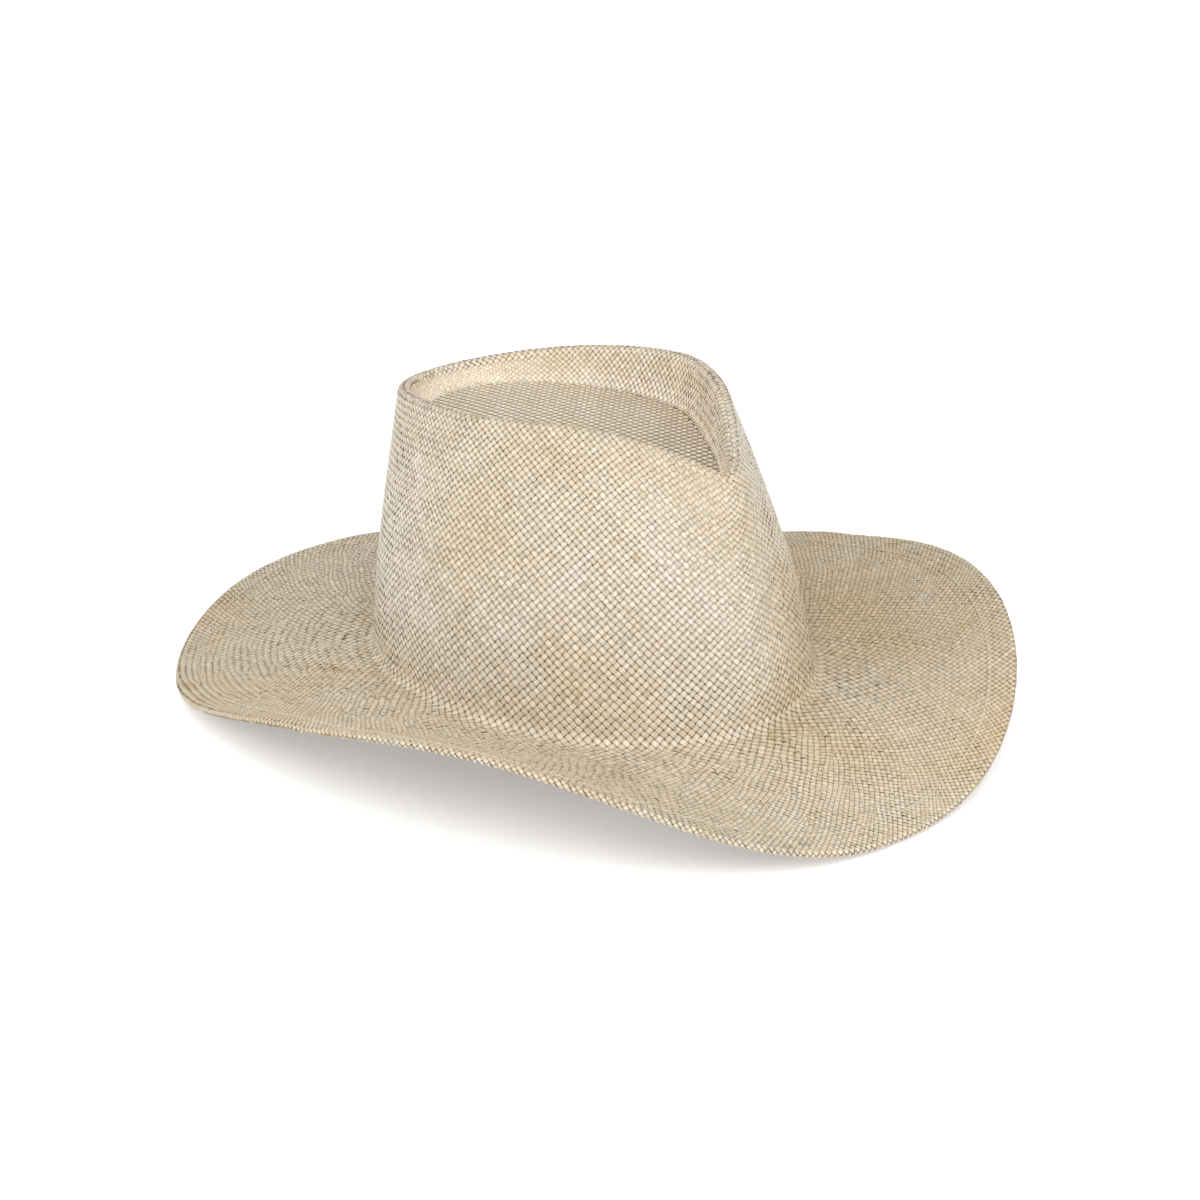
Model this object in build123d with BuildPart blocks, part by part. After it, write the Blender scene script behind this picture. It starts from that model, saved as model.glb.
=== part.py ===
from build123d import *
from math import atan2, cos, pi, radians, sin, sqrt
import os

# Woven straw hat, millimetres, +Z up, front of the hat towards -Y.
# The shape functions below work from the crown's own axis; everything is
# placed at the end so that the origin is under the middle of the brim.

# driving dimensions
sheet = 0.9                 # thickness of the woven straw
head_half_width = 86.0      # outside of the crown at its foot
head_half_length = 102.5
crown_foot = 18.0           # height of the crease between crown and brim
crown_foot_saddle = 4.4     # the crease is this much higher at the sides
foot_bend = 5.0             # bend between crown and brim, mid sheet
crest_half_width = 62.8     # raised rim round the teardrop crown top
crest_front = 94.0
crest_back = 90.4
crest_shift = 8.6
crest_pinch = 0.6           # narrowing of the rim towards the front tip
crest_pinch_power = 1.42
crest_top = 138.3           # rim height above the table at mid length
crest_slope = 5.2           # the rim falls this much over 100 mm towards the back
crest_arch = 8.8            # and this much more at 100 mm either way
crest_drop = 54.6           # steeper fall of the rim near the front tip
crest_drop_start = 0.35     # begins this share of 100 mm ahead of mid length
crest_round = 3.5           # outside radius of the rim's rounded top
crown_flare = 1.6           # power of the crown wall's curve
front_flare = 0.45          # the wall is this much straighter at the front
dip_lean = 2.0              # lean of the wall inside the rim
dip_top = 117.5             # height of the sunken plateau at its middle
dip_middle = 6.0            # where that is, along the hat
dip_sag = 4.0               # the plateau is this much lower dip_span away
dip_span = 90.0
dip_foot = 0.5              # the wall inside the rim reaches this far into the plateau
plateau_lap = 0.3           # the plateau's edge reaches this far past the wall's middle
brim_half_width = 156.6
brim_front = 184.0
brim_back = 197.0
brim_squareness = 2.26
brim_waves = (18.0, 10.6, -13.1, -15.4, 0.3)   # edge height, cosine terms
brim_curl = 1.35
fold_inside = 0.7           # inside radius of the turned-under edge
flap_width = 12.5           # straw turned under the brim
flap_gap = 0.12
flap_close = 6.0            # the flap closes on the brim over this distance
flap_close_power = 1.6
seam_inset = 11.0           # hem seam, in from the brim edge
wire_radius = 0.45
sleeve_radius = 0.62
sleeve_bore = 0.48
sleeve_half_angle = 1.8     # degrees along the brim
wire_gap = 0.2              # degrees between the wire's ends
band_thickness = 0.8        # sweatband
band_gap = 0.25
band_low = 1.5              # above the crown foot crease
band_height = 32.0
band_joint = 0.4            # gap of the butt joint at the back
band_seam_rise = 3.0        # seam above the band's lower edge
stitch_radius = 0.2
hem_stitch_length = 3.2
hem_stitch_count = 240
band_stitch_length = 3.0
band_stitch_count = 132
joint_stitch_count = 7
joint_stitch_low = 7.5      # lowest cross stitch above the band's lower edge
joint_stitch_pitch = 3.2
joint_stitch_length = 3.6
joint_stitch_slant = 0.35
label_half_angle = 6.5      # degrees, at the back of the sweatband
label_offset = 3.0          # degrees between the label and the band's joint
label_low = 9.0             # above the band's lower edge
label_high = 23.0
label_thickness = 0.3
label_gap = 0.03

half = sheet / 2
fold = fold_inside + half
station_angles = (-14, -10, -6, -3, 0, 3, 6, 10, 14, 18, 22, 27, 32, 38, 44, 51, 58, 65, 72, 78,
                  84, 90, 96, 102, 108, 115, 122, 129, 136, 143, 150, 157, 164, 172, 180, 188)


def base_curve(angle):
    """Outside radius and height of the crease between crown and brim."""
    s, c = sin(radians(angle)), cos(radians(angle))
    radius = 1 / sqrt((s / head_half_width) ** 2 + (c / head_half_length) ** 2)
    across = radius * s / head_half_width
    return radius, crown_foot + crown_foot_saddle * across ** 2


def crest_curve(angle):
    """Radius and height of the outside of the raised rim, seen from the crown axis."""
    aim = abs((angle + 180) % 360 - 180)
    low, high = 0.0, 180.0
    for _ in range(50):
        turn = (low + high) / 2
        s, c = sin(radians(turn)), cos(radians(turn))
        x = crest_half_width * s * (1 - crest_pinch * max(c, 0) ** crest_pinch_power)
        y = -(crest_front if c > 0 else crest_back) * c + crest_shift
        if atan2(x, -y) < radians(aim):
            low = turn
        else:
            high = turn
    t = y / 100
    tip = max(-t - crest_drop_start, 0)
    height = crest_top - crest_slope * t - crest_arch * t * t - crest_drop * tip * tip
    return sqrt(x * x + y * y), height


def edge_curve(angle):
    """Radius and height of the middle of the brim's outer edge."""
    s, c = abs(sin(radians(angle))), cos(radians(angle))
    length = brim_front if c > 0 else brim_back
    n = brim_squareness
    a, b = (s / brim_half_width) ** n, (abs(c) / length) ** n
    radius = (a + b) ** (-1 / n)
    phase = atan2(sqrt(a), sqrt(b) if c > 0 else -sqrt(b))
    height = sum(w * cos(k * phase) for k, w in enumerate(brim_waves))
    return radius, height


def unit(dr, dz):
    size = sqrt(dr * dr + dz * dz)
    return dr / size, dz / size


def plateau_height(y):
    return dip_top - dip_sag * ((y - dip_middle) / dip_span) ** 2


def wall_point(angle, u):
    """Mid sheet of the outer crown wall, u = 0 under the rim, 1 above the foot bend."""
    rb, zb = base_curve(angle)
    rc, zc = crest_curve(angle)
    top, low = zc - crest_round, zb - half + foot_bend
    flare = crown_flare - front_flare * max(cos(radians(angle)), 0)
    r = rc - half + (rb - rc) * (1 - (1 - u) ** flare)
    z = top + u * (low - top)
    dr, dz = unit(flare * (rb - rc) * (1 - u) ** (flare - 1), low - top)
    return r, z, -dz, dr


def brim_point(angle, s):
    """Mid sheet of the upper layer of the brim, s = 0 at the crown, 1 at the fold."""
    rb, zb = base_curve(angle)
    re, ze = edge_curve(angle)
    start = rb - half + foot_bend
    reach = re - fold - half - start
    rise = ze + fold - (zb - half)
    dr, dz = unit(reach, brim_curl * rise * s ** (brim_curl - 1))
    end = unit(reach, brim_curl * rise)
    r = start + s * (reach - fold * end[1])
    z = zb - half + s ** brim_curl * (rise - fold * (1 - end[0]))
    return r, z, -dz, dr


def sheet_path(angle):
    """Mid-sheet points with their outward normals, from the dip's foot to the flap's end."""
    rc, zc = crest_curve(angle)
    bend = crest_round - half
    cr, cz = rc - crest_round, zc - crest_round
    foot_r = cr - bend - dip_lean
    foot_z = plateau_height(-foot_r * cos(radians(angle))) - dip_foot
    lean = unit(dip_lean, cz - foot_z)
    path = []
    for k in (0, 0.5):
        path.append((foot_r + k * dip_lean, foot_z + k * (cz - foot_z), -lean[1], lean[0]))
    for turn in (180, 135, 90, 45):
        nr, nz = cos(radians(turn)), sin(radians(turn))
        path.append((cr + bend * nr, cz + bend * nz, nr, nz))
    for u in (0, 0.05, 0.15, 0.3, 0.5, 0.7, 0.88, 0.97):
        path.append(wall_point(angle, u))
    r, z, _, _ = wall_point(angle, 1)
    for turn in (180, 210, 240):
        nr, nz = cos(radians(turn)), sin(radians(turn))
        path.append((r + foot_bend + foot_bend * nr, z + foot_bend * nz, -nr, -nz))
    for s in (0, 0.06, 0.16, 0.3, 0.45, 0.6, 0.75, 0.87, 0.96, 1):
        path.append(brim_point(angle, s))
    r, z, nr, nz = path[-1]
    cr, cz = r - fold * nr, z - fold * nz
    for turn in (45, 90, 135):
        c, s = cos(radians(turn)), sin(radians(turn))
        ur, uz = nr * c + nz * s, nz * c - nr * s
        path.append((cr + fold * ur, cz + fold * uz, ur, uz))
    rb, _ = base_curve(angle)
    span = r - (rb - half + foot_bend)
    for back in (0, 2, 4, 6, 9, flap_width):
        br, bz, nr, nz = brim_point(angle, 1 - back / span)
        closing = max(1 - back / flap_close, 0) ** flap_close_power
        drop = sheet + flap_gap + (2 * fold - sheet - flap_gap) * closing
        path.append((br - drop * nr, bz - drop * nz, -nr, -nz))
    return path


def station(angle):
    """Radial plane through the crown axis; local x is the radius, local y the height."""
    s, c = sin(radians(angle)), cos(radians(angle))
    return Plane(origin=(0, 0, 0), x_dir=(s, -c, 0), z_dir=(-c, -s, 0))


def space(angle, r, z):
    return Vector(r * sin(radians(angle)), -r * cos(radians(angle)), z)


# shared spline parameters keep every station's knots the same
side = [(p[0], p[1]) for p in sheet_path(90)]
steps = [0.0]
for before, after in zip(side, side[1:]):
    steps.append(steps[-1] + sqrt((after[0] - before[0]) ** 2 + (after[1] - before[1]) ** 2))
knots = [step / steps[-1] for step in steps]

# straw: one woven sheet bent through rim, crown wall, brim and turned-under hem
with BuildPart() as straw_wall:
    for angle in station_angles:
        path = sheet_path(angle)
        upper = [(r + half * nr, z + half * nz) for r, z, nr, nz in path]
        under = [(r - half * nr, z - half * nz) for r, z, nr, nz in path]
        with BuildSketch(station(angle)):
            with BuildLine():
                add(Edge.make_spline([Vector(*p) for p in upper], parameters=knots))
                add(Edge.make_spline([Vector(*p) for p in under], parameters=knots))
                Line(upper[0], under[0])
                Line(upper[-1], under[-1])
            make_face()
    loft()
    split(bisect_by=Plane.YZ, keep=Keep.TOP)
    mirror(about=Plane.YZ)

# sunken plateau inside the rim
outline = []
for angle in range(0, 360, 12):
    rc, _ = crest_curve(angle)
    outline.append(space(angle, rc - 2 * crest_round - dip_lean + sheet + plateau_lap, 0))
plateau_ends = (dip_middle - 110, dip_middle + 110)
plateau_top = [(y, plateau_height(y)) for y in
               (plateau_ends[0], dip_middle - 45, dip_middle, dip_middle + 45, plateau_ends[1])]
plateau_low = [(y, z - sheet) for y, z in plateau_top]
with BuildPart() as plateau:
    with BuildSketch(Plane.XY.offset(dip_top - 30)):
        with BuildLine():
            Spline(*[(p.X, p.Y) for p in outline], periodic=True)
        make_face()
    extrude(amount=60)
    with BuildSketch(Plane.YZ):
        with BuildLine():
            Spline(*plateau_low)
            Spline(*plateau_top)
            Line(plateau_low[0], plateau_top[0])
            Line(plateau_low[-1], plateau_top[-1])
        make_face()
    extrude(amount=crest_half_width, both=True, mode=Mode.INTERSECT)

with BuildPart() as straw_body:
    add(straw_wall.part)
    add(plateau.part)

# wire in the folded edge, with a crimped sleeve over its two ends at the back
def wire_point(angle):
    re, ze = edge_curve(angle)
    return space(angle, re - fold - half, ze)


with BuildPart() as brim_wire:
    with BuildLine() as wire_line:
        Spline(*[wire_point(180 + wire_gap / 2 + (360 - wire_gap) * k / 72) for k in range(73)])
    with BuildSketch(Plane(origin=wire_line.line @ 0, z_dir=wire_line.line % 0)):
        Circle(wire_radius)
    sweep()

with BuildPart() as wire_sleeve:
    with BuildLine() as sleeve_line:
        Spline(*[wire_point(180 + k * sleeve_half_angle) for k in (-1, 0, 1)])
    with BuildSketch(Plane(origin=sleeve_line.line @ 0, z_dir=sleeve_line.line % 0)):
        Circle(sleeve_radius)
        Circle(sleeve_bore, mode=Mode.SUBTRACT)
    sweep()


# seam through brim and flap
def hem_point(angle):
    rb, _ = base_curve(angle)
    re, _ = edge_curve(angle)
    reach = re - fold - half - (rb - half + foot_bend)
    r, z, nr, nz = brim_point(angle, 1 - (seam_inset - fold - half) / reach)
    return space(angle, r + half * nr, z + half * nz)


def stitch_places(point, count):
    """Frames along a closed line of stitches, local z along the thread."""
    frames = []
    for k in range(count):
        angle = 360 * (k + 0.5) / count
        along = point(angle + 0.4) - point(angle - 0.4)
        frames.append(Plane(origin=point(angle), z_dir=along))
    return frames


with BuildPart() as hem_stitches:
    with Locations(*stitch_places(hem_point, hem_stitch_count)):
        Cylinder(radius=stitch_radius, height=hem_stitch_length)


# sweatband against the inside of the crown wall
def band_point(angle, rise, depth):
    """Point of the sweatband, rise above its lower edge, depth in from the straw."""
    _, zb = base_curve(angle)
    _, zc = crest_curve(angle)
    z = zb + band_low + rise
    top, low = zc - crest_round, zb - half + foot_bend
    u = min((top - z) / (top - low), 1)
    r = wall_point(angle, u)[0]
    return r - half - depth, z


def band_section(angle, low, high, outer, inner):
    """Corners of the band's upright slice between two heights and two depths."""
    rises = [low + (high - low) * k / 4 for k in range(5)]
    return ([band_point(angle, rise, outer) for rise in rises]
            + [band_point(angle, rise, inner) for rise in reversed(rises)])


with BuildPart() as sweatband:
    for angle in range(-10, 191, 10):
        corners = band_section(angle, 0, band_height, band_gap, band_gap + band_thickness)
        with BuildSketch(station(angle)):
            with BuildLine():
                Polyline(*corners, close=True)
            make_face()
    loft()
    split(bisect_by=Plane.YZ, keep=Keep.TOP)
    mirror(about=Plane.YZ)
    with Locations((0, head_half_length, crown_foot + band_low + band_height / 2)):
        Box(band_joint, 2 * band_height, 2 * band_height, mode=Mode.SUBTRACT)


def band_seam(angle):
    r, z = band_point(angle, band_seam_rise, band_gap + band_thickness)
    return space(angle, r, z)


with BuildPart() as sweatband_stitches:
    with Locations(*stitch_places(band_seam, band_stitch_count)):
        Cylinder(radius=stitch_radius, height=band_stitch_length)


# cross stitches that close the band's butt joint at the back
joint_frames = []
for k in range(joint_stitch_count):
    rise = joint_stitch_low + joint_stitch_pitch * k
    r, z = band_point(180, rise, band_gap + band_thickness)
    joint_frames.append(Plane(origin=space(180, r, z), z_dir=(1, 0, joint_stitch_slant)))
with BuildPart() as joint_stitches:
    with Locations(*joint_frames):
        Cylinder(radius=stitch_radius, height=joint_stitch_length)

# blank ribbon label lying on the band beside its joint
label_centre = 180 - label_half_angle - label_offset
label_outer = band_gap + band_thickness + label_gap
label_inner = label_outer + label_thickness
with BuildPart() as size_label:
    for step in (-1, 0, 1):
        angle = label_centre + step * label_half_angle
        corners = band_section(angle, label_low, label_high, label_outer, label_inner)
        with BuildSketch(station(angle)):
            with BuildLine():
                Polyline(*corners, close=True)
            make_face()
    loft()

# origin at the floor under the middle of the brim
box = straw_body.part.bounding_box()
seat = Location((0, -(box.min.Y + box.max.Y) / 2, -box.min.Z))
pieces = {
    "straw_body": straw_body.part,
    "brim_wire": brim_wire.part,
    "wire_sleeve": wire_sleeve.part,
    "hem_stitches": hem_stitches.part,
    "sweatband": sweatband.part,
    "sweatband_stitches": sweatband_stitches.part,
    "joint_stitches": joint_stitches.part,
    "size_label": size_label.part,
}
os.makedirs("parts", exist_ok=True)
for name, piece in pieces.items():
    placed = seat * piece
    placed.label = name
    export_step(placed, f"parts/{name}.step")
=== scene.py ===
import math

import bpy
import numpy as np
from mathutils import Matrix, Vector


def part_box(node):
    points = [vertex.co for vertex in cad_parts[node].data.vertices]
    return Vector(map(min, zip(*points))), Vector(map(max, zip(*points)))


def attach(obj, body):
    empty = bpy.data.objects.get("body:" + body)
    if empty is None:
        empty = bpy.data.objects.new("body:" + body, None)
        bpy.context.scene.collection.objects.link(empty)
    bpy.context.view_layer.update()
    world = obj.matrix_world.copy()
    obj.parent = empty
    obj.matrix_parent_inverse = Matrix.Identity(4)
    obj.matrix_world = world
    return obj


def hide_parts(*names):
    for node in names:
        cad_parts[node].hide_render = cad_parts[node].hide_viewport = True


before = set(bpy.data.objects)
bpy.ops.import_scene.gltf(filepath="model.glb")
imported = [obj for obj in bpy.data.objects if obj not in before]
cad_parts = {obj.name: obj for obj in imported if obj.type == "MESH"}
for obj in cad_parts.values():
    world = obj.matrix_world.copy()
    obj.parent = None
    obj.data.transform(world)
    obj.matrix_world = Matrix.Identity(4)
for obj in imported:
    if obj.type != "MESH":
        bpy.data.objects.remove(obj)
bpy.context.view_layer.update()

# ---------------------------------------------------------------- dimensions, millimetres
# The same driving dimensions as the CAD part, worked in millimetres round the crown's axis.
SHEET = 0.9
HEAD_HALF_WIDTH = 86.0
HEAD_HALF_LENGTH = 102.5
CROWN_FOOT = 18.0
CROWN_FOOT_SADDLE = 4.4
FOOT_BEND = 5.0
CREST_HALF_WIDTH = 62.8
CREST_FRONT = 94.0
CREST_BACK = 90.4
CREST_SHIFT = 8.6
CREST_PINCH = 0.6
CREST_PINCH_POWER = 1.42
CREST_TOP = 138.3
CREST_SLOPE = 5.2           # the rim falls this much over 100 mm towards the back
CREST_ARCH = 8.8            # and this much more at 100 mm either way
CREST_DROP = 54.6           # steeper fall of the rim near the front tip
CREST_DROP_START = 0.35     # begins this share of 100 mm ahead of mid length
CREST_ROUND = 3.5
CROWN_FLARE = 1.6
FRONT_FLARE = 0.45
DIP_LEAN = 2.0
DIP_SOFT = 3.0              # the dip wall's foot curves in by this much
DIP_SOFT_POWER = 4
DIP_TOP = 118.6             # top of the plateau, a little domed
DIP_MIDDLE = 6.0
DIP_SAG = 4.0               # lower by this at DIP_SPAN along the hat
DIP_SPAN = 90.0
DIP_DOME = 1.6              # and by this at DIP_SIDE across it
DIP_SIDE = 45.0
BRIM_HALF_WIDTH = 156.6
BRIM_FRONT = 184.0
BRIM_BACK = 197.0
BRIM_SQUARENESS = 2.26
BRIM_WAVES = (18.0, 10.6, -13.1, -15.4, 0.3)
BRIM_CURL = 1.35
FOLD_INSIDE = 0.7
FLAP_WIDTH = 12.5
FLAP_GAP = 0.12
FLAP_CLOSE = 6.0            # the flap closes on the brim over this distance
FLAP_CLOSE_POWER = 1.6
SEAM_INSET = 11.0
THREAD_RADIUS = 0.22
HEM_STITCHES = 240
HEM_STITCH_SHARE = 0.8      # share of each stitch's room that shows
HEM_STITCH_SINK = 0.35      # how deep its ends dive
BAND_THICKNESS = 0.8
BAND_GAP = 0.25
BAND_LOW = 1.5
BAND_HEIGHT = 32.0
BAND_JOINT = 0.4            # gap of the butt joint at the back
BAND_RIB = 0.04
BAND_COLUMNS = 2321
BAND_STITCHES = 132
BAND_STITCH_SHARE = 0.72
BAND_STITCH_SINK = 0.3
BAND_SEAM_RISE = 3.0
JOINT_STITCHES = 7
JOINT_STITCH_LOW = 7.5
JOINT_STITCH_PITCH = 3.2
JOINT_STITCH_HALF = (1.7, 0, 0.6)
LABEL_HALF_ANGLE = 6.5
LABEL_OFFSET = 3            # degrees between the label and the band's joint
LABEL_LOW = 9
LABEL_HIGH = 23
LABEL_THICKNESS = 0.3
LABEL_GAP = 0.03
LABEL_RIB = 0.02
LABEL_COLUMNS = 81

HALF = SHEET / 2
FOLD = FOLD_INSIDE + HALF

# the weave
CROWN_STRIPS = 156          # strips of each family round the crown
BRIM_PAIRS = 125            # pairs of strips of each family added across the brim
LEVEL_STEP = 0.62           # between samples down the hat
WEAVE_LIFT = 0.29           # strips ride this far above and below mid sheet
STRIP_THICKNESS = 0.22
STRIPS_PER_PIECE = 38
LEFT_SHIFT = 0.37           # share of a turn between the places where the two families' pairs start
RIGHT_SEED = 5
LEFT_SEED = 9
TONE_SEED_STEP = 100
PLATEAU_SEED = 31
PLATEAU_PITCH = 2.3
PLATEAU_LIFT = 0.22
# painted light: the plateau is painted brighter, as if lit
PLATEAU_DIP_LIGHT = 0.8
PLATEAU_LAP = 0.6           # its strips run this far into the dip wall
PLATEAU_STEPS = 4           # samples in each pitch
PLATEAU_FILL = 0.96         # share of its room that a strip takes up
PLATEAU_FILL_CHANGE = 0.04

MM = 0.001
FRONT_TO_AXIS = (BRIM_FRONT - BRIM_BACK) / 2
TURNS = 1441                # samples round the hat in the shape tables
ROUND = np.linspace(0.0, 2 * math.pi, TURNS)


# ---------------------------------------------------------------- shape of the hat, as in the part
def base_curve(angle):
    s, c = np.sin(angle), np.cos(angle)
    radius = 1 / np.sqrt((s / HEAD_HALF_WIDTH) ** 2 + (c / HEAD_HALF_LENGTH) ** 2)
    across = radius * s / HEAD_HALF_WIDTH
    return radius, CROWN_FOOT + CROWN_FOOT_SADDLE * across ** 2


def crest_table():
    """Rim radius and height against the angle from the front, 0 to pi."""
    turn = np.linspace(0, math.pi, 4001)
    s, c = np.sin(turn), np.cos(turn)
    x = CREST_HALF_WIDTH * s * (1 - CREST_PINCH * np.maximum(c, 0) ** CREST_PINCH_POWER)
    y = -np.where(c > 0, CREST_FRONT, CREST_BACK) * c + CREST_SHIFT
    t = y / 100
    drop = CREST_DROP * np.maximum(-t - CREST_DROP_START, 0) ** 2
    height = CREST_TOP - CREST_SLOPE * t - CREST_ARCH * t * t - drop
    return np.arctan2(x, -y), np.hypot(x, y), height


CREST = crest_table()
PLACE = np.array([0.0, FRONT_TO_AXIS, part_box("straw_body")[1][2] / MM - CREST[2].max()])


def crest_curve(angle):
    aim = np.abs((angle + math.pi) % (2 * math.pi) - math.pi)
    return np.interp(aim, CREST[0], CREST[1]), np.interp(aim, CREST[0], CREST[2])


def edge_curve(angle):
    s, c = np.abs(np.sin(angle)), np.cos(angle)
    length = np.where(c > 0, BRIM_FRONT, BRIM_BACK)
    a = (s / BRIM_HALF_WIDTH) ** BRIM_SQUARENESS
    b = (np.abs(c) / length) ** BRIM_SQUARENESS
    radius = (a + b) ** (-1 / BRIM_SQUARENESS)
    phase = np.arctan2(np.sqrt(a), np.sign(c) * np.sqrt(b))
    height = sum(w * np.cos(k * phase) for k, w in enumerate(BRIM_WAVES))
    return radius, height


def unit(dr, dz):
    size = np.hypot(dr, dz)
    return dr / size, dz / size


def plateau_height(x, y):
    return (DIP_TOP - DIP_SAG * ((y - DIP_MIDDLE) / DIP_SPAN) ** 2
            - DIP_DOME * (x / DIP_SIDE) ** 2)


def dip_point(angle, u):
    """Wall inside the rim, u = 0 at its foot, 1 where the rim's round top begins."""
    rc, zc = crest_curve(angle)
    bend = CREST_ROUND - HALF
    top_r, top_z = rc - CREST_ROUND - bend, zc - CREST_ROUND
    foot_r = top_r - DIP_LEAN
    foot_z = plateau_height(foot_r * np.sin(angle), -foot_r * np.cos(angle)) - HALF
    soft = DIP_SOFT * (1 - u) ** DIP_SOFT_POWER
    bend_in = DIP_SOFT_POWER * DIP_SOFT * (1 - u) ** (DIP_SOFT_POWER - 1)
    dr, dz = unit(DIP_LEAN + bend_in, top_z - foot_z)
    return foot_r + u * DIP_LEAN - soft, foot_z + u * (top_z - foot_z), -dz, dr


def crest_point(angle, u):
    rc, zc = crest_curve(angle)
    turn = math.pi * (1 - u)
    nr, nz = math.cos(turn), math.sin(turn)
    bend = CREST_ROUND - HALF
    one = np.ones_like(rc)
    return rc - CREST_ROUND + bend * nr, zc - CREST_ROUND + bend * nz, nr * one, nz * one


def wall_point(angle, u):
    rb, zb = base_curve(angle)
    rc, zc = crest_curve(angle)
    top, low = zc - CREST_ROUND, zb - HALF + FOOT_BEND
    flare = CROWN_FLARE - FRONT_FLARE * np.maximum(np.cos(angle), 0)
    r = rc - HALF + (rb - rc) * (1 - (1 - u) ** flare)
    z = top + u * (low - top)
    dr, dz = unit(flare * (rb - rc) * (1 - u) ** (flare - 1), low - top)
    return r, z, -dz, dr


def foot_point(angle, u):
    r, z, _, _ = wall_point(angle, 1.0)
    turn = math.pi * (1 + u / 2)
    nr, nz = math.cos(turn), math.sin(turn)
    one = np.ones_like(r)
    return r + FOOT_BEND + FOOT_BEND * nr, z + FOOT_BEND * nz, -nr * one, -nz * one


def brim_point(angle, s):
    rb, zb = base_curve(angle)
    re, ze = edge_curve(angle)
    start = rb - HALF + FOOT_BEND
    reach = re - FOLD - HALF - start
    rise = ze + FOLD - (zb - HALF)
    dr, dz = unit(reach, BRIM_CURL * rise * s ** (BRIM_CURL - 1))
    end = unit(reach, BRIM_CURL * rise)
    r = start + s * (reach - FOLD * end[1])
    z = zb - HALF + s ** BRIM_CURL * (rise - FOLD * (1 - end[0]))
    return r, z, -dz, dr


def fold_point(angle, u):
    r, z, nr, nz = brim_point(angle, 1.0)
    c, s = math.cos(math.pi * u), math.sin(math.pi * u)
    ur, uz = nr * c + nz * s, nz * c - nr * s
    return r - FOLD * nr + FOLD * ur, z - FOLD * nz + FOLD * uz, ur, uz


def flap_point(angle, u):
    back = u * FLAP_WIDTH
    rb, _ = base_curve(angle)
    r = brim_point(angle, 1.0)[0]
    span = r - (rb - HALF + FOOT_BEND)
    br, bz, nr, nz = brim_point(angle, 1 - back / span)
    open_share = max(1 - back / FLAP_CLOSE, 0) ** FLAP_CLOSE_POWER
    drop = SHEET + FLAP_GAP + (2 * FOLD - SHEET - FLAP_GAP) * open_share
    return br - drop * nr, bz - drop * nz, -nr, -nz


# zone name, function, rough length in mm, steepness of the strips
ZONES = (
    ("dip", dip_point, 17.0, 1.12),
    ("crest", crest_point, 9.6, 1.05),
    ("wall", wall_point, 112.0, 0.93),
    ("foot", foot_point, 7.9, 0.97),
    ("brim", brim_point, 84.0, 1.0),
    ("fold", fold_point, 3.6, 1.0),
    ("flap", flap_point, 12.5, 1.0),
)


def space(angle, r, z):
    """Row-frame metres from radius and height round the crown's axis."""
    x, y = r * np.sin(angle), -r * np.cos(angle)
    return (np.stack([x, y, z + 0 * r], -1) + PLACE) * MM


class Levels:
    """Rings of points down the whole hat, from the dip's foot to the flap's end."""

    def __init__(self):
        places, normals, zones, steep = [], [], [], []
        for number, (_, shape, length, steepness) in enumerate(ZONES):
            count = max(round(length / LEVEL_STEP), 4)
            for k in range(count):
                r, z, nr, nz = shape(ROUND, (k + 0.5) / count)
                places.append(space(ROUND, r, z))
                normals.append(np.stack([nr * np.sin(ROUND), -nr * np.cos(ROUND), nz + 0 * nr], -1))
                zones.append(number)
                steep.append(steepness)
        self.places = np.array(places)
        self.zones = np.array(zones)
        # true surface normals, from the tangents down and round, turned to the visible side
        down = np.gradient(self.places, axis=0)
        around = np.roll(self.places[:, :-1], -1, 1) - np.roll(self.places[:, :-1], 1, 1)
        around = np.concatenate([around, around[:, :1]], 1)
        normal = np.cross(down, around)
        normal /= np.linalg.norm(normal, axis=-1, keepdims=True)
        facing = np.sign((normal * np.array(normals)).sum(-1, keepdims=True))
        self.normals = normal * facing
        steps = np.linalg.norm(np.diff(self.places, axis=1), axis=-1)
        self.run = np.concatenate([np.zeros((len(steps), 1)), np.cumsum(steps, 1)], 1)
        self.length = self.run[:, -1].copy()
        self.run /= self.length[:, None]
        drop = np.linalg.norm(np.diff(self.places, axis=0), axis=-1).mean(1)
        drop = np.concatenate([[0.0], drop])
        self.down = np.cumsum(drop)
        self.twist = np.cumsum(drop / (self.length * np.array(steep)))

    def at(self, level, t):
        """Position and normal on one ring, at fractions t of its way round from the front."""
        t = np.mod(t, 1.0)
        run = self.run[level]
        place = np.stack([np.interp(t, run, self.places[level, :, k]) for k in range(3)], -1)
        normal = np.stack([np.interp(t, run, self.normals[level, :, k]) for k in range(3)], -1)
        return place, normal / np.linalg.norm(normal, axis=-1, keepdims=True)


levels = Levels()
LEVELS = len(levels.length)


def first_level(name):
    number = [zone[0] for zone in ZONES].index(name)
    return int(np.argmax(levels.zones == number))


CREST_START = first_level("crest")
CREST_MIDDLE = (CREST_START + first_level("wall")) / 2
BRIM_START = first_level("brim")
FOLD_START = first_level("fold")
LOW_WALL = BRIM_START - 60  # the crown starts to tan here


# ---------------------------------------------------------------- the weave
GOLDEN = 0.618034
LET_IN_FIRST = 0.01         # pairs are let in from this share of the brim
LET_IN_SPAN = 0.84          # over this share of it
LET_IN_RAMP = 18            # levels over which a new pair of strips makes its room
DRAWN_WEIGHT = 0.25         # a new strip shows once it has this share of its room
SPREAD = 1.4                # how fast neighbouring strips even out their spacing


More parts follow.
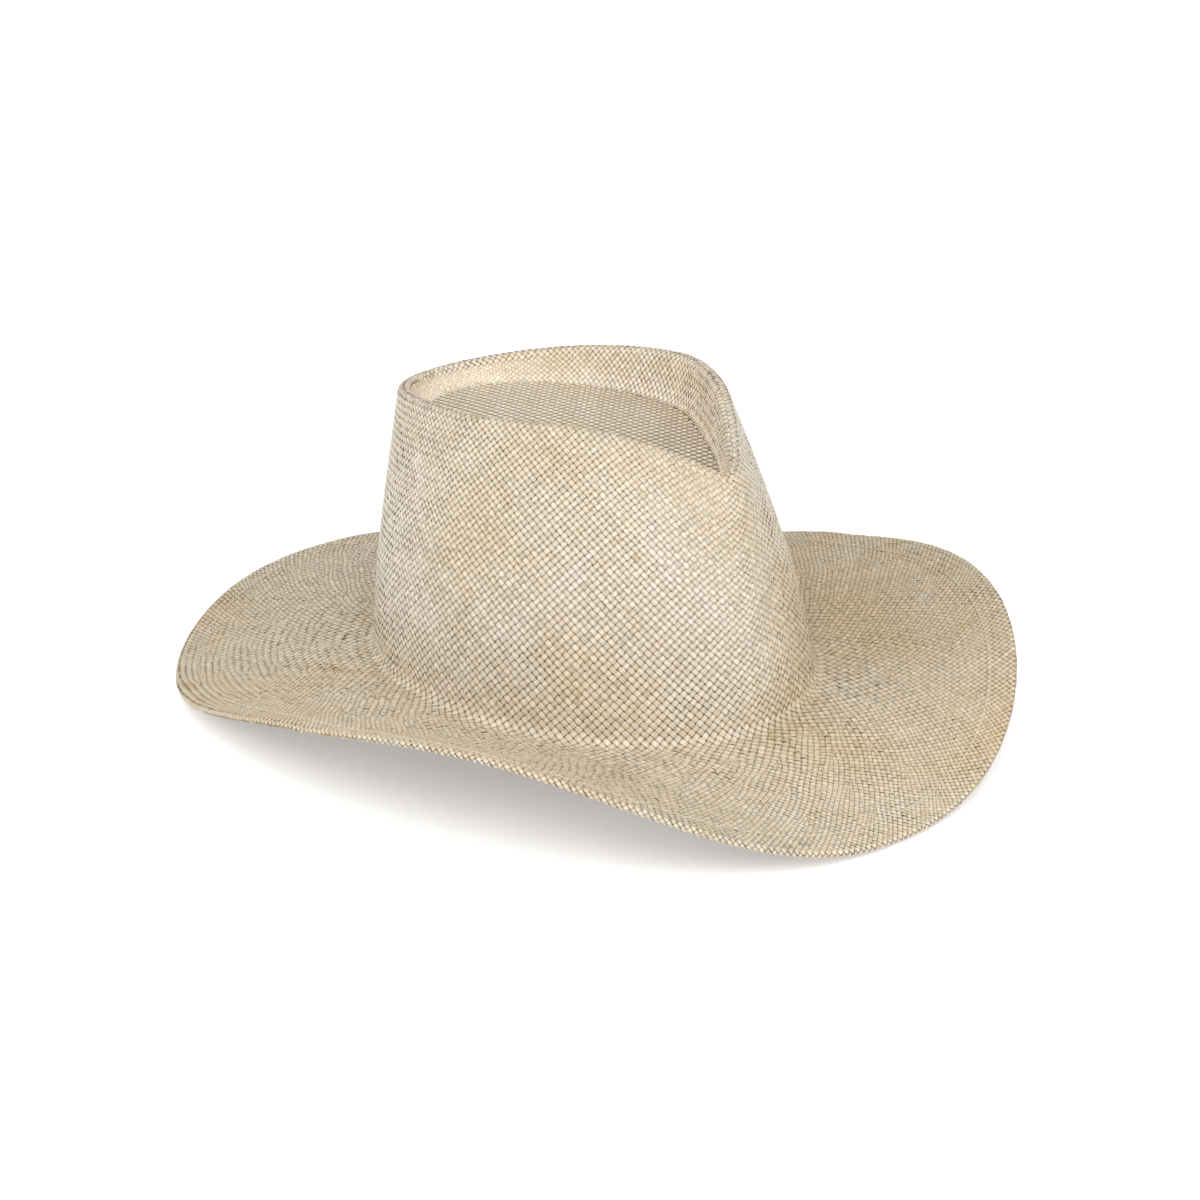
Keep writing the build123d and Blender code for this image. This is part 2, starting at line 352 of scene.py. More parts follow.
def strip_starts(shift):
    """For each strip of a family, the level where it is let in; pairs are added across the brim."""
    places = (np.arange(BRIM_PAIRS) * GOLDEN + shift) % 1.0
    order = np.argsort(places)
    reach = FOLD_START - BRIM_START
    starts, gap = [], 0
    for k in range(CROWN_STRIPS):
        starts.append(0)
        while gap < BRIM_PAIRS and places[order[gap]] * CROWN_STRIPS < k + 1:
            share = LET_IN_FIRST + LET_IN_SPAN * order[gap] / BRIM_PAIRS
            first = BRIM_START + int(reach * share)
            starts += [first, first]
            gap += 1
    return np.array(starts)


class Family:
    """One family of strips: where each strip is at each level, in fractions of the way round."""

    def __init__(self, direction, shift):
        starts = strip_starts(shift)
        self.count = len(starts)
        self.parity = np.where(np.arange(self.count) % 2 == 0, 1.0, -1.0)
        grown = np.clip((np.arange(LEVELS)[:, None] - starts[None]) / LET_IN_RAMP, 0, 1)
        self.weight = np.where(starts[None] == 0, 1.0, grown * grown * (3 - 2 * grown))
        self.drawn = self.weight > DRAWN_WEIGHT
        place = (np.cumsum(self.weight[0]) - self.weight[0] / 2) / CROWN_STRIPS
        ring = np.roll(np.eye(self.count), 1, 0)
        springs = 2 * np.eye(self.count) - ring - ring.T
        self.at = np.zeros((LEVELS, self.count))
        for k in range(LEVELS):
            place = self.settle(place, self.weight[k], springs)
            self.at[k] = place
        ahead = np.roll(self.at, -1, 1) - self.at
        ahead[:, -1] += 1
        self.pitch = np.zeros_like(self.at)
        for k in range(LEVELS):
            on = np.nonzero(self.drawn[k])[0]
            t = self.at[k, on]
            gaps = np.append(t[1:], t[0] + 1) - t
            self.pitch[k, on] = (gaps + np.roll(gaps, 1)) / 2 * levels.length[k]
        self.at += direction * levels.twist[:, None]

    def settle(self, place, weight, springs):
        """Strips keep to their place, but share the room with their neighbours."""
        gaps = (weight + np.roll(weight, -1)) / 2
        gaps /= gaps.sum()
        hold = np.maximum(weight, 0.02)
        pull = np.roll(gaps, 1) - gaps
        pull[0] -= 1
        pull[-1] += 1
        return np.linalg.solve(np.diag(hold) + SPREAD * springs, hold * place + SPREAD * pull)

    def wave(self, level, t):
        """Over (+1) or under (-1) an even strip of the other family that crosses here at t."""
        place = self.at[level]
        start = place[0]
        height = np.append(self.parity * self.weight[level], self.parity[0])
        place = np.append(place - start, 1.0)
        t = np.mod(t - start, 1.0)
        index = np.clip(np.searchsorted(place, t, side="right") - 1, 0, self.count - 1)
        room = np.maximum(place[index + 1] - place[index], 1e-9)
        turn = np.cos(math.pi * (t - place[index]) / room)
        return (height[index] + height[index + 1]) / 2 + (height[index] - height[index + 1]) / 2 * turn


rights = Family(+1, 0.0)
lefts = Family(-1, LEFT_SHIFT)

# across the strip as a share of its width, and height as a share of its thickness
SECTION = ((-0.5, -0.05), (-0.3, 0.45), (0.3, 0.45), (0.5, -0.05), (0.3, -0.45), (-0.3, -0.45))
EDGE_SHADE = (0.75, 0.0, 0.0, 0.75, 0.0, 0.0)   # how much each corner lies in the crevice beside it, which drives the painted crevice shade

# how strips vary: amount of the change, and samples over which it changes along a strip
FILL = 0.92                 # share of its room that a strip takes up
FILL_LIMITS = (0.74, 1.0)
FILL_BY_STRIP = 0.03
FILL_ALONG = (0.045, 12)
TILT = (0.09, 5)            # one edge higher than the other, as a share of the width
SWELL = (0.12, 6)           # height of the wave
THICKEN = (0.12, 14)


def slow_noise(draw, count, length, step):
    """Smooth random values, one row per strip, that change over about step samples."""
    knots = draw.normal(size=(count, length // step + 3))
    where = np.arange(length) / step
    low = where.astype(int)
    share = where - low
    share = share * share * (3 - 2 * share)
    return knots[:, low] * (1 - share) + knots[:, low + 1] * share


def change(draw, count, amount_and_step):
    amount, step = amount_and_step
    return amount * slow_noise(draw, count, LEVELS, step).T


def strip_rings(family, other, sign, seed):
    """Cross-sections of every strip at every level: arrays level, strip, corner, xyz."""
    draw = np.random.default_rng(seed)
    place = np.zeros((LEVELS, family.count, 3))
    normal = np.zeros_like(place)
    lift = np.zeros((LEVELS, family.count))
    for k in range(LEVELS):
        place[k], normal[k] = levels.at(k, family.at[k])
        lift[k] = sign * family.parity * other.wave(k, family.at[k])
    along = np.gradient(place, axis=0)
    along /= np.linalg.norm(along, axis=-1, keepdims=True)
    across = np.cross(normal, along)
    across /= np.linalg.norm(across, axis=-1, keepdims=True)
    slant = 1 / np.array([zone[3] for zone in ZONES])[levels.zones]
    square = family.pitch * np.cos(np.arctan(slant))[:, None]
    fill = FILL + FILL_BY_STRIP * draw.normal(size=family.count)[None]
    fill = np.clip(fill + change(draw, family.count, FILL_ALONG), *FILL_LIMITS)
    tilt = change(draw, family.count, TILT)
    swell = 1 + change(draw, family.count, SWELL)
    width = square * fill
    centre = place + normal * (lift * swell * WEAVE_LIFT * MM)[..., None]
    thickness = STRIP_THICKNESS * MM * (1 + change(draw, family.count, THICKEN))
    rings = []
    for x, z in SECTION:
        height = z * thickness + x * width * tilt
        rings.append(centre + across * (x * width)[..., None] + normal * height[..., None])
    return np.stack(rings, 2), width, lift


def make_mesh(name, verts, quads, material, attributes=None):
    mesh = bpy.data.meshes.new(name)
    verts = np.ascontiguousarray(verts, np.float32)
    quads = np.ascontiguousarray(quads, np.int32)
    mesh.vertices.add(len(verts))
    mesh.vertices.foreach_set("co", verts.ravel())
    mesh.loops.add(quads.size)
    mesh.loops.foreach_set("vertex_index", quads.ravel())
    mesh.polygons.add(len(quads))
    mesh.polygons.foreach_set("loop_start", np.arange(0, quads.size, 4, dtype=np.int32))
    mesh.polygons.foreach_set("use_smooth", np.ones(len(quads), bool))
    for key, values in (attributes or {}).items():
        kind = "FLOAT" if values.ndim == 1 else "FLOAT_VECTOR"
        layer = mesh.attributes.new(key, kind, "POINT")
        layer.data.foreach_set("value" if values.ndim == 1 else "vector",
                               np.ascontiguousarray(values, np.float32).ravel())
    mesh.update()
    mesh.validate()
    mesh.materials.append(material)
    obj = bpy.data.objects.new(name, mesh)
    bpy.context.scene.collection.objects.link(obj)
    return obj


def tube_quads(rings, corners, first=0):
    """Quads that join consecutive rings of corners, and close both ends with fans of quads."""
    start = first + np.arange(rings - 1)[:, None] * corners
    k = np.arange(corners)[None]
    after = (k + 1) % corners
    sides = np.stack([start + k, start + corners + k, start + corners + after, start + after], -1)
    last = first + (rings - 1) * corners
    caps = [[first + 3, first + 2, first + 1, first], [first, first + 5, first + 4, first + 3],
            [last, last + 1, last + 2, last + 3], [last + 3, last + 4, last + 5, last]]
    return np.concatenate([sides.reshape(-1, 4), np.array(caps)])


GRAIN_SHIFT = 10            # metres, keeps the grain of strips of different tone apart


def add_strip_piece(name, strips, material):
    """One mesh of several strips: (rings, width and lift at each ring, tone, painted dip light and
    tan).
    """
    corners = len(SECTION)
    verts, quads, tones, grains, reliefs, dip_light_and_tan_rows, total = [], [], [], [], [], [], 0
    for rings, width, lift, tone, dip_light_and_tan in strips:
        verts.append(rings.reshape(-1, 3))
        quads.append(tube_quads(len(rings), corners, total))
        total += len(rings) * corners
        steps = np.linalg.norm(np.diff(rings.mean(1), axis=0), axis=1)
        along = np.repeat(np.concatenate([[0.0], np.cumsum(steps)]), corners)
        side = np.tile([x for x, _ in SECTION], len(rings)) * np.repeat(width, corners)
        tones.append(np.full(len(along), tone))
        grains.append(np.stack([along + GRAIN_SHIFT * tone, side, tones[-1]], -1))
        # relief is the lift less the crevice share; the material paints shade and highlights from it
        reliefs.append(np.repeat(lift, corners) - np.tile(EDGE_SHADE, len(rings)))
        dip_light_and_tan_rows.append(np.repeat(np.broadcast_to(dip_light_and_tan, len(rings)), corners))
    attributes = {"tone": np.concatenate(tones), "grain": np.concatenate(grains),
                  "relief": np.concatenate(reliefs), "dip_light_and_tan": np.concatenate(dip_light_and_tan_rows)}
    piece = make_mesh(name, np.concatenate(verts), np.concatenate(quads), material, attributes)
    layer = piece.data.uv_layers.new(name="strip")
    corner = np.zeros(len(piece.data.loops), np.int32)
    piece.data.loops.foreach_get("vertex_index", corner)
    flat = attributes["grain"][:, [1, 0]][corner]
    layer.data.foreach_set("uv", np.ascontiguousarray(flat, np.float32).ravel())
    return piece


def strip_pieces(name, family, other, sign, seed, material):
    rings, width, lift = strip_rings(family, other, sign, seed)
    # painted light: the dip wall and crest are painted palest, as if lit, and the brim is the most
    # tanned
    dip_light_and_tan = np.interp(np.arange(LEVELS), (CREST_START, CREST_MIDDLE, LOW_WALL, BRIM_START),
                     (1.0, 0.5, 0.5, 0.0))
    tone = np.random.default_rng(seed + TONE_SEED_STEP).uniform(0, 1, family.count)
    pieces = []
    for first in range(0, family.count, STRIPS_PER_PIECE):
        strips = []
        for strip in range(first, min(first + STRIPS_PER_PIECE, family.count)):
            on = np.nonzero(family.drawn[:, strip])[0]
            strips.append((rings[on, strip], width[on, strip], lift[on, strip], tone[strip],
                           dip_light_and_tan[on]))
        pieces.append(add_strip_piece(f"{name}_{first // STRIPS_PER_PIECE + 1}", strips, material))
    return pieces


def plateau_pieces(material):
    """The plateau's own square weave, at 45 degrees, its ends hidden in the dip's crease."""
    draw = np.random.default_rng(PLATEAU_SEED)
    foot = dip_point(ROUND, 0.0)[0] + PLATEAU_LAP
    made = []
    count = int(CREST_BACK / PLATEAU_PITCH)
    steps = count * PLATEAU_STEPS
    for side in (1, -1):
        strips = []
        for k in range(-count, count + 1):
            s = np.arange(-steps, steps + 1) * PLATEAU_PITCH / PLATEAU_STEPS
            offset = (k + 0.5) * PLATEAU_PITCH
            x = (s - side * offset) * math.sqrt(0.5)
            y = (side * s + offset) * math.sqrt(0.5) + CREST_SHIFT
            angle = np.arctan2(x, -y)
            inside = np.hypot(x, y) < np.interp(np.mod(angle, 2 * math.pi), ROUND, foot)
            on = np.nonzero(inside)[0]
            if len(on) < 4:
                continue
            on = np.arange(on[0], on[-1] + 1)
            # the other family's strips cross at whole and a half pitches along this one
            beat = np.cos(math.pi * (s[on] / PLATEAU_PITCH - 0.5))
            lift = side * (1 if k % 2 == 0 else -1) * beat
            z = plateau_height(x[on], y[on]) - HALF + lift * PLATEAU_LIFT
            centre = (np.stack([x[on], y[on], z], -1) + PLACE) * MM
            along = np.gradient(centre, axis=0)
            along /= np.linalg.norm(along, axis=1, keepdims=True)
            across = np.cross((0, 0, 1), along)
            fill = np.clip(PLATEAU_FILL + PLATEAU_FILL_CHANGE * draw.normal(size=len(on)), 0.85, 1)
            width = np.convolve(np.pad(PLATEAU_PITCH * MM * fill, 3, "edge"), np.ones(7) / 7, "valid")
            rings = [centre + across * (u * width)[:, None]
                     + np.array([0, 0, v * STRIP_THICKNESS * MM]) for u, v in SECTION]
            strips.append((np.stack(rings, 1), width, lift, draw.uniform(), PLATEAU_DIP_LIGHT))
        name = "plateau_right" if side > 0 else "plateau_left"
        made.append(add_strip_piece(name, strips, material))
    return made


# ---------------------------------------------------------------- threads, sweatband and label
STITCH_RINGS = 15
STITCH_REST = 0.9           # height of a stitch's middle above the cloth, in radii
STITCH_SQUARENESS = 6
PLY_SWELL = 0.2             # how far the two plies stand out
PLY_TURN = 7                # length of a turn of the plies, in radii
CLOTH_SINK = 0.05           # the hem thread lies this far inside the straw's face


def stitch(start, end, normal, radius, sink):
    """Rings of one two-ply stitch that lies on a surface and dives into it at both ends."""
    share = np.linspace(0, 1, STITCH_RINGS)
    lift = radius * STITCH_REST - (radius + sink) * np.abs(2 * share - 1) ** STITCH_SQUARENESS
    centre = start + share[:, None] * (end - start) + lift[:, None] * normal
    along = np.gradient(centre, axis=0)
    along /= np.linalg.norm(along, axis=1, keepdims=True)
    side = np.cross(along, normal)
    side /= np.linalg.norm(side, axis=1, keepdims=True)
    up = np.cross(side, along)
    length = np.linalg.norm(end - start)
    rings = []
    for k in range(len(SECTION)):
        turn = 2 * math.pi * k / len(SECTION)
        ply = 1 + PLY_SWELL * np.cos(2 * (turn - share * length / (radius * PLY_TURN) * math.pi))
        rings.append(centre + (radius * ply)[:, None]
                     * (math.cos(turn) * side + math.sin(turn) * up))
    return np.stack(rings, 1)


def stitch_row(name, point, count, share, phase, radius, sink, material):
    """A row of stitches; point(angle) gives places and normals in metres."""
    strips = []
    for k in range(count):
        middle = 2 * math.pi * (k + 0.5 + phase) / count
        spread = math.pi * share / count
        ends, normals = point(np.array([middle - spread, middle + spread]))
        strips.append((stitch(ends[0], ends[1], normals.mean(0), radius, sink),
                       np.full(STITCH_RINGS, radius), np.ones(STITCH_RINGS), (k * GOLDEN) % 1, 0))
    return add_strip_piece(name, strips, material)


def radial(angle, nr, nz):
    return np.stack([nr * np.sin(angle), -nr * np.cos(angle), nz + 0 * angle], -1)


def hem_top(angle):
    rb, _ = base_curve(angle)
    re, _ = edge_curve(angle)
    reach = re - FOLD - HALF - (rb - HALF + FOOT_BEND)
    r, z, nr, nz = brim_point(angle, 1 - (SEAM_INSET - FOLD - HALF) / reach)
    lift = HALF - CLOTH_SINK
    return space(angle, r + lift * nr, z + lift * nz), radial(angle, nr, nz)


def hem_under(angle):
    place, normal = hem_top(angle)
    return place - normal * (2 * (SHEET - CLOTH_SINK) + FLAP_GAP) * MM, -normal


def band_place(angle, rise, depth):
    """Inside of the crown wall, rise above the band's lower edge, depth in from the straw."""
    _, zb = base_curve(angle)
    _, zc = crest_curve(angle)
    z = zb + BAND_LOW + rise
    top, low = zc - CREST_ROUND, zb - HALF + FOOT_BEND
    u = np.minimum((top - z) / (top - low), 1)
    r = wall_point(angle, u)[0]
    return space(angle, r - HALF - depth, z)


def band_inner(angle, rise):
    inward = radial(angle, -np.ones_like(angle), 0)
    return band_place(angle, rise, BAND_GAP + BAND_THICKNESS), inward


TAPE_SQUARENESS = 14


def soft_tape(name, first, last, low, high, outer, inner, columns, rib, material):
    """A flat tape against the inside of the crown, closed all round, its edges rounded."""
    angle = np.linspace(first, last, columns)
    middle, half_width = (low + high) / 2, (high - low) / 2
    depth, thick = (outer + inner) / 2, (inner - outer) / 2
    across = [0, 0.35, 0.7, 0.88, 0.96, 0.99, 1]       # closer together at the rounded edge
    outline = [(u, 1) for u in across] + [(u, -1) for u in reversed(across)]
    outline += [(-u, -1) for u in across[1:]] + [(-u, 1) for u in reversed(across[1:])]
    rings = []
    for u, face in outline:
        bulge = thick * (1 - abs(u) ** TAPE_SQUARENESS) ** 0.5 * face
        ribbing = rib * np.cos(np.arange(columns) * math.pi / 2) * (face < 0)
        rings.append(band_place(angle, middle + u * half_width, depth - bulge + ribbing))
    rings = np.stack(rings, 1)
    corners = len(outline)
    start = np.arange(columns - 1)[:, None] * corners
    k = np.arange(corners)[None]
    after = (k + 1) % corners
    quads = np.stack([start + k, start + corners + k, start + corners + after, start + after], -1)
    caps = []
    for base, flip in ((0, False), ((columns - 1) * corners, True)):
        for j in range(corners // 2 - 1):
            cap = [base + j, base + j + 1, base + corners - 2 - j, base + corners - 1 - j]
            caps.append(cap[::-1] if flip else cap)
    quads = np.concatenate([quads.reshape(-1, 4), np.array(caps)])
    return make_mesh(name, rings.reshape(-1, 3), quads, material)


# ---------------------------------------------------------------- materials
def new_material(name):
    material = bpy.data.materials.new(name)
    material.use_nodes = True
    tree = material.node_tree
    tree.nodes.clear()
    out = tree.nodes.new("ShaderNodeOutputMaterial")
    shader = tree.nodes.new("ShaderNodeBsdfPrincipled")
    tree.links.new(shader.outputs[0], out.inputs[0])
    return material, tree, shader


def node(tree, kind, inputs=None, **settings):
    """A new node; inputs are sockets to link or values to set."""
    made = tree.nodes.new(kind)
    for key, value in settings.items():
        setattr(made, key, value)
    for key, value in (inputs or {}).items():
        if isinstance(value, bpy.types.NodeSocket):
            tree.links.new(value, made.inputs[key])
        else:
            made.inputs[key].default_value = value
    return made


def ramp(tree, factor, stops):
    """Colour that follows factor; stops are (position, colour)."""
    made = node(tree, "ShaderNodeValToRGB", {"Fac": factor})
    elements = made.color_ramp.elements
    while len(elements) < len(stops):
        elements.new(0.5)
    for element, (where, colour) in zip(elements, stops):
        element.position = where
        element.color = (*colour, 1)
    return made.outputs["Color"]


def straw_material():
    """Straw: each strip's tone, tan patches, painted shade in crevices and painted highlights on raised
    floats, painted light in the dip, drifts and fibres.
    """
    material, tree, shader = new_material("woven_straw")
    place = node(tree, "ShaderNodeTexCoord").outputs["Object"]
    tone = node(tree, "ShaderNodeAttribute", attribute_name="tone").outputs["Fac"]
    grain = node(tree, "ShaderNodeAttribute", attribute_name="grain").outputs["Vector"]
    strip_colour = ramp(tree, tone, (
        (0.0, (0.555, 0.49, 0.38)), (0.3, (0.58, 0.517, 0.41)), (0.7, (0.61, 0.549, 0.447)),
        (1.0, (0.635, 0.578, 0.482))))
    relief = node(tree, "ShaderNodeAttribute", attribute_name="relief").outputs["Fac"]
    raised = node(tree, "ShaderNodeMapRange", {"Value": relief, "From Min": -1.2, "From Max": 1.0})
    # painted shade: darker at strip edges in crevices and where a strip passes under a crossing one;
    # painted highlight: lighter on raised float tops
    crevice_shade_and_highlight = ramp(tree, raised.outputs[0], (
        (0.06, (0.10, 0.06, 0.03)), (0.24, (0.26, 0.19, 0.12)), (0.36, (0.70, 0.65, 0.57)),
        (0.52, (0.90, 0.88, 0.85)), (0.75, (1.0, 1.0, 1.0)), (1.0, (1.18, 1.18, 1.20))))
    dip_light_and_tan = node(tree, "ShaderNodeAttribute", attribute_name="dip_light_and_tan").outputs["Fac"]
    # painted light: the dip, crest and plateau are painted brighter, as if lit; towards the brim the
    # colour turns warmer, as tan
    dip_light_and_tan_colour = ramp(tree, dip_light_and_tan, (
        (0.0, (0.93, 0.90, 0.845)), (0.5, (0.93, 0.932, 0.95)), (1.0, (1.22, 1.22, 1.24))))
    patch = node(tree, "ShaderNodeTexNoise", {"Vector": place, "Scale": 14.0, "Detail": 3.0})
    tan = ramp(tree, patch.outputs["Fac"], ((0.45, (1, 1, 1)), (0.70, (0.93, 0.86, 0.72))))
    drift = node(tree, "ShaderNodeMapping", {"Vector": grain, "Scale": (190.0, 30.0, 60.0)})
    drifts = node(tree, "ShaderNodeTexNoise",
                  {"Vector": drift.outputs[0], "Scale": 1.0, "Detail": 2.0})
    drift_colour = ramp(tree, drifts.outputs["Fac"], (
        (0.32, (0.86, 0.855, 0.83)), (0.50, (1.0, 1.0, 1.0)), (0.60, (1.10, 1.10, 1.10)),
        (0.67, (0.97, 0.91, 0.79)), (0.76, (0.82, 0.68, 0.48))))
    stretch = node(tree, "ShaderNodeMapping", {"Vector": grain, "Scale": (110.0, 5200.0, 40.0)})
    fibre = node(tree, "ShaderNodeTexNoise",
                 {"Vector": stretch.outputs[0], "Scale": 1.0, "Detail": 3.0})
    fibres = ramp(tree, fibre.outputs["Fac"], ((0.3, (0.84, 0.82, 0.78)), (0.7, (1.12, 1.11, 1.10))))
    colour = strip_colour
    for layer in (tan, drift_colour, crevice_shade_and_highlight, dip_light_and_tan_colour, fibres):
        mix = node(tree, "ShaderNodeMix", data_type="RGBA", blend_type="MULTIPLY")
        mix.inputs["Factor"].default_value = 1.0
        tree.links.new(colour, mix.inputs[6])
        tree.links.new(layer, mix.inputs[7])
        colour = mix.outputs[2]
    tree.links.new(colour, shader.inputs["Base Color"])
    rough = node(tree, "ShaderNodeMapRange",
                 {"Value": fibre.outputs["Fac"], "To Min": 0.28, "To Max": 0.44})
    tree.links.new(rough.outputs[0], shader.inputs["Roughness"])
    bump = node(tree, "ShaderNodeBump", {"Height": fibre.outputs["Fac"], "Strength": 0.5,
                                         "Distance": 0.0001})
    tree.links.new(bump.outputs[0], shader.inputs["Normal"])
    tangent = node(tree, "ShaderNodeTangent", direction_type="UV_MAP", uv_map="strip")
    tree.links.new(tangent.outputs[0], shader.inputs["Tangent"])
    shader.inputs["Anisotropic"].default_value = 0.75
    shader.inputs["Specular IOR Level"].default_value = 0.8
    return material


def cloth_material(name, colour, dark, scale=2600.0):
    material, tree, shader = new_material(name)
    place = node(tree, "ShaderNodeTexCoord").outputs["Object"]
    twill = node(tree, "ShaderNodeTexWave", {"Vector": place, "Scale": scale / 6, "Distortion": 0.6},
                 bands_direction="DIAGONAL")
    fuzz = node(tree, "ShaderNodeTexNoise", {"Vector": place, "Scale": scale, "Detail": 3.0})
    both = node(tree, "ShaderNodeMath", {0: twill.outputs["Fac"], 1: fuzz.outputs["Fac"]},
                operation="ADD")
    shade = ramp(tree, both.outputs[0], ((0.4, dark), (1.0, colour)))
    tree.links.new(shade, shader.inputs["Base Color"])
    bump = node(tree, "ShaderNodeBump", {"Height": both.outputs[0], "Strength": 0.4,
                                         "Distance": 0.0001})
    tree.links.new(bump.outputs[0], shader.inputs["Normal"])
    shader.inputs["Roughness"].default_value = 0.85
    shader.inputs["Sheen Weight"].default_value = 0.3
    return material


def metal_material(name, colour):
    material, tree, shader = new_material(name)
    place = node(tree, "ShaderNodeTexCoord").outputs["Object"]
    scratch = node(tree, "ShaderNodeTexNoise", {"Vector": place, "Scale": 900.0, "Detail": 4.0})
    shade = ramp(tree, scratch.outputs["Fac"], ((0.35, tuple(0.7 * c for c in colour)), (0.65, colour)))
    tree.links.new(shade, shader.inputs["Base Color"])
    shader.inputs["Metallic"].default_value = 1.0
    rough = node(tree, "ShaderNodeMapRange",
                 {"Value": scratch.outputs["Fac"], "To Min": 0.25, "To Max": 0.5})
    tree.links.new(rough.outputs[0], shader.inputs["Roughness"])
    return material


# ---------------------------------------------------------------- pieces, and the nodes they stand for
straw = straw_material()
straw_objects = strip_pieces("straw_right", rights, lefts, +1, RIGHT_SEED, straw)
straw_objects += strip_pieces("straw_left", lefts, rights, -1, LEFT_SEED, straw)
straw_objects += plateau_pieces(straw)
for piece in straw_objects:
    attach(piece, "root")
    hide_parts("straw_body")

hem_thread = cloth_material("spun_hem_thread", (0.70, 0.64, 0.52), (0.50, 0.44, 0.33))
band_thread = cloth_material("spun_band_thread", (0.80, 0.75, 0.64), (0.55, 0.49, 0.38))
for name, point, phase in (("hem_stitches_top", hem_top, 0.0), ("hem_stitches_under", hem_under, 0.5)):
    row = stitch_row(name, point, HEM_STITCHES, HEM_STITCH_SHARE, phase, THREAD_RADIUS * MM,
                     HEM_STITCH_SINK * MM, hem_thread)
    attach(row, "root")
    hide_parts("hem_stitches")

twill = cloth_material("cotton_twill", (0.72, 0.66, 0.55), (0.50, 0.44, 0.35))
joint = BAND_JOINT / 2 / HEAD_HALF_LENGTH
band = soft_tape("sweatband_tape", math.pi + joint, 3 * math.pi - joint, 0, BAND_HEIGHT,
                 BAND_GAP, BAND_GAP + BAND_THICKNESS, BAND_COLUMNS, BAND_RIB, twill)
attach(band, "root")
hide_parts("sweatband")

seam = stitch_row("sweatband_seam", lambda angle: band_inner(angle, BAND_SEAM_RISE), BAND_STITCHES,
                  BAND_STITCH_SHARE, 0.0, THREAD_RADIUS * MM, BAND_STITCH_SINK * MM, band_thread)
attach(seam, "root")
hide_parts("sweatband_stitches")

crosses = []
for k in range(JOINT_STITCHES):
    place, inward = band_inner(np.array([math.pi]), JOINT_STITCH_LOW + JOINT_STITCH_PITCH * k)
    slant = np.array(JOINT_STITCH_HALF) * MM
    rings = stitch(place[0] - slant, place[0] + slant, inward[0], THREAD_RADIUS * MM,
                   BAND_STITCH_SINK * MM)
    crosses.append((rings, np.full(STITCH_RINGS, THREAD_RADIUS * MM), np.ones(STITCH_RINGS),
                    k / JOINT_STITCHES, 0))
cross = add_strip_piece("joint_cross_stitches", crosses, band_thread)
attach(cross, "root")
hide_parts("joint_stitches")

ribbon = cloth_material("woven_ribbon", (0.86, 0.84, 0.79), (0.66, 0.63, 0.56))
label_middle = math.pi - math.radians(LABEL_HALF_ANGLE + LABEL_OFFSET)
label_depth = BAND_GAP + BAND_THICKNESS + LABEL_GAP
label = soft_tape("blank_label", label_middle - math.radians(LABEL_HALF_ANGLE),
                  label_middle + math.radians(LABEL_HALF_ANGLE), LABEL_LOW, LABEL_HIGH,
                  label_depth, label_depth + LABEL_THICKNESS, LABEL_COLUMNS, LABEL_RIB, ribbon)
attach(label, "root")
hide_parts("size_label")

steel = metal_material("drawn_steel", (0.56, 0.56, 0.57))
brass = metal_material("drawn_brass", (0.72, 0.55, 0.28))
for name, material in (("brim_wire", steel), ("wire_sleeve", brass)):
    for slot in bpy.data.objects[name].material_slots:
        slot.material = material

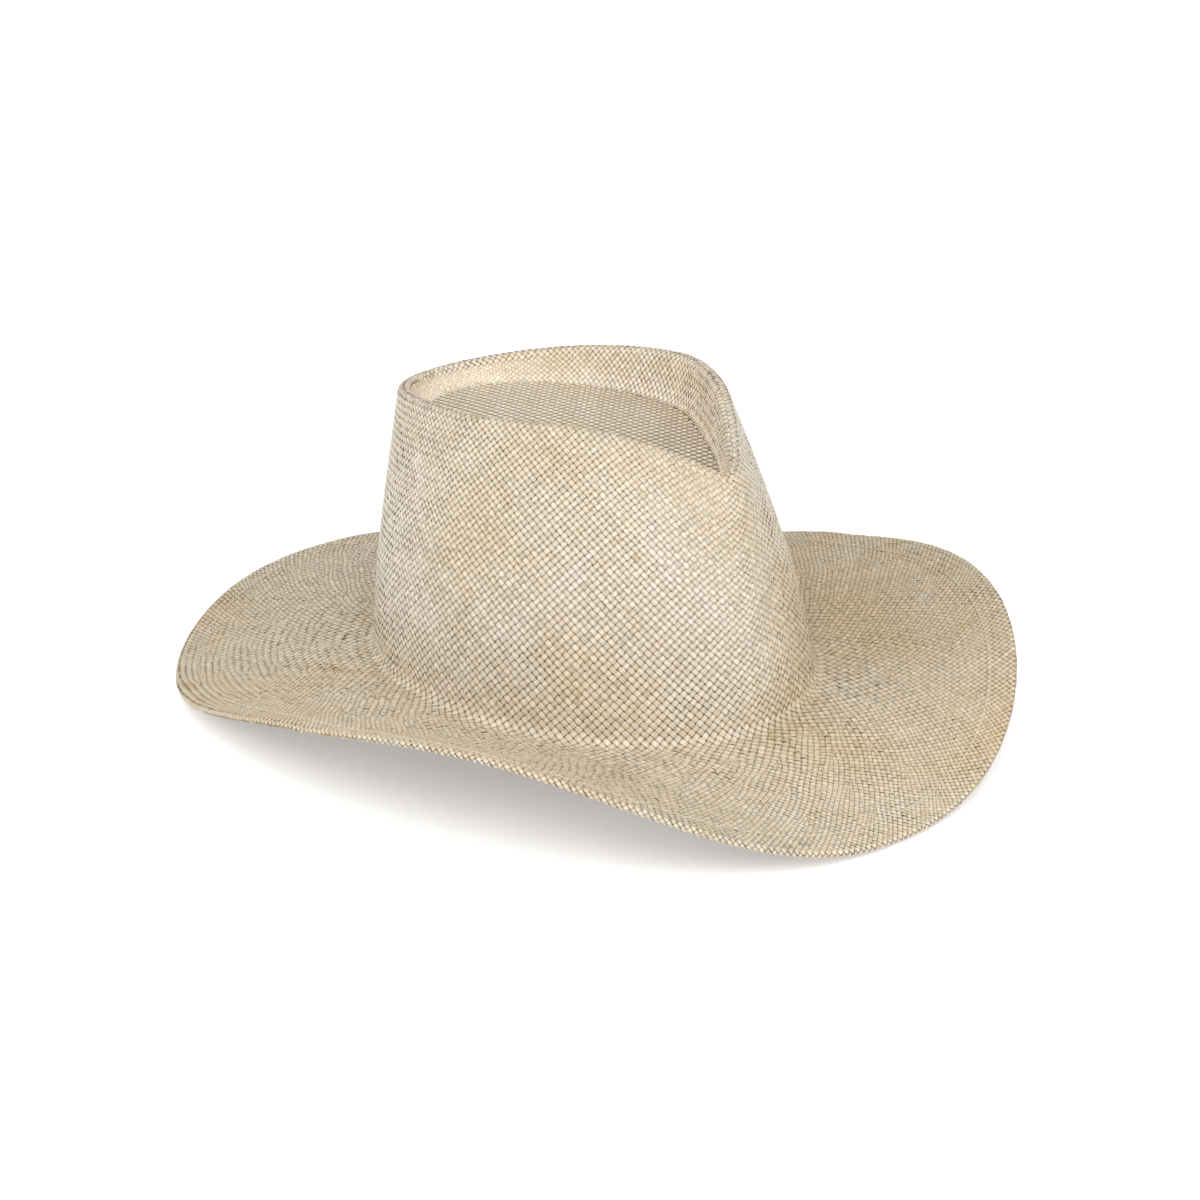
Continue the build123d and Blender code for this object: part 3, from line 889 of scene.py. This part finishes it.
# ---------------------------------------------------------------- floor, light and camera
FLOOR_SIZE = 30.0
AIM_HEIGHT = 60.0           # the camera and the lights are aimed this high
bpy.ops.mesh.primitive_plane_add(size=FLOOR_SIZE, location=(0, 0, 0))
floor = bpy.context.object
floor.name = "floor"
floor_material, _, floor_shader = new_material("pale_floor")
floor_shader.inputs["Base Color"].default_value = (0.88, 0.895, 0.91, 1)
floor_shader.inputs["Emission Color"].default_value = (1, 1, 1, 1)
floor_shader.inputs["Emission Strength"].default_value = 0.3
floor_shader.inputs["Specular IOR Level"].default_value = 0.0
floor_shader.inputs["Roughness"].default_value = 0.9
floor.data.materials.append(floor_material)

world = bpy.data.worlds.new("studio")
bpy.context.scene.world = world
world.use_nodes = True
world.node_tree.nodes["Background"].inputs["Color"].default_value = (1, 1, 1, 1)
world.node_tree.nodes["Background"].inputs["Strength"].default_value = 0.72


def area_light(name, place, aim, size, power):
    light = bpy.data.lights.new(name, "AREA")
    light.size = size
    light.energy = power
    lamp = bpy.data.objects.new(name, light)
    lamp.location = place
    lamp.rotation_euler = (Vector(aim) - Vector(place)).to_track_quat("-Z", "Y").to_euler()
    bpy.context.scene.collection.objects.link(lamp)
    return lamp


HAT_MIDDLE = Vector((0, FRONT_TO_AXIS * MM, (AIM_HEIGHT + PLACE[2]) * MM))
area_light("left", (-1.6, 0.6, 0.9), HAT_MIDDLE, 1.0, 9)
area_light("right", (0.67, -1.66, 0.9), HAT_MIDDLE, 1.0, 11)
area_light("front", (-1.0, -1.1, 1.5), HAT_MIDDLE, 1.2, 21)

# camera at the photograph's angle: azimuth, elevation and roll in degrees
AZIMUTH, ELEVATION, ROLL = -41.4, 21.6, -0.3
DISTANCE = 1.245
SENSOR = 36.0
LENS = 88.63155
SHIFT_X, SHIFT_Y = 0.00725, -0.0315
back = Vector((math.sin(math.radians(AZIMUTH)) * math.cos(math.radians(ELEVATION)),
               -math.cos(math.radians(AZIMUTH)) * math.cos(math.radians(ELEVATION)),
               math.sin(math.radians(ELEVATION))))
camera_data = bpy.data.cameras.new("camera")
camera = bpy.data.objects.new("camera", camera_data)
bpy.context.scene.collection.objects.link(camera)
camera.location = HAT_MIDDLE + back * DISTANCE
roll = Matrix.Rotation(math.radians(ROLL), 4, "Z")
camera.matrix_world = (Matrix.Translation(camera.location)
                       @ back.to_track_quat("Z", "Y").to_matrix().to_4x4() @ roll)
camera_data.sensor_width = SENSOR
camera_data.lens = LENS
camera_data.shift_x = SHIFT_X
camera_data.shift_y = SHIFT_Y
camera_data.clip_end = 50
bpy.context.scene.camera = camera
bpy.context.scene.view_settings.view_transform = "Standard"
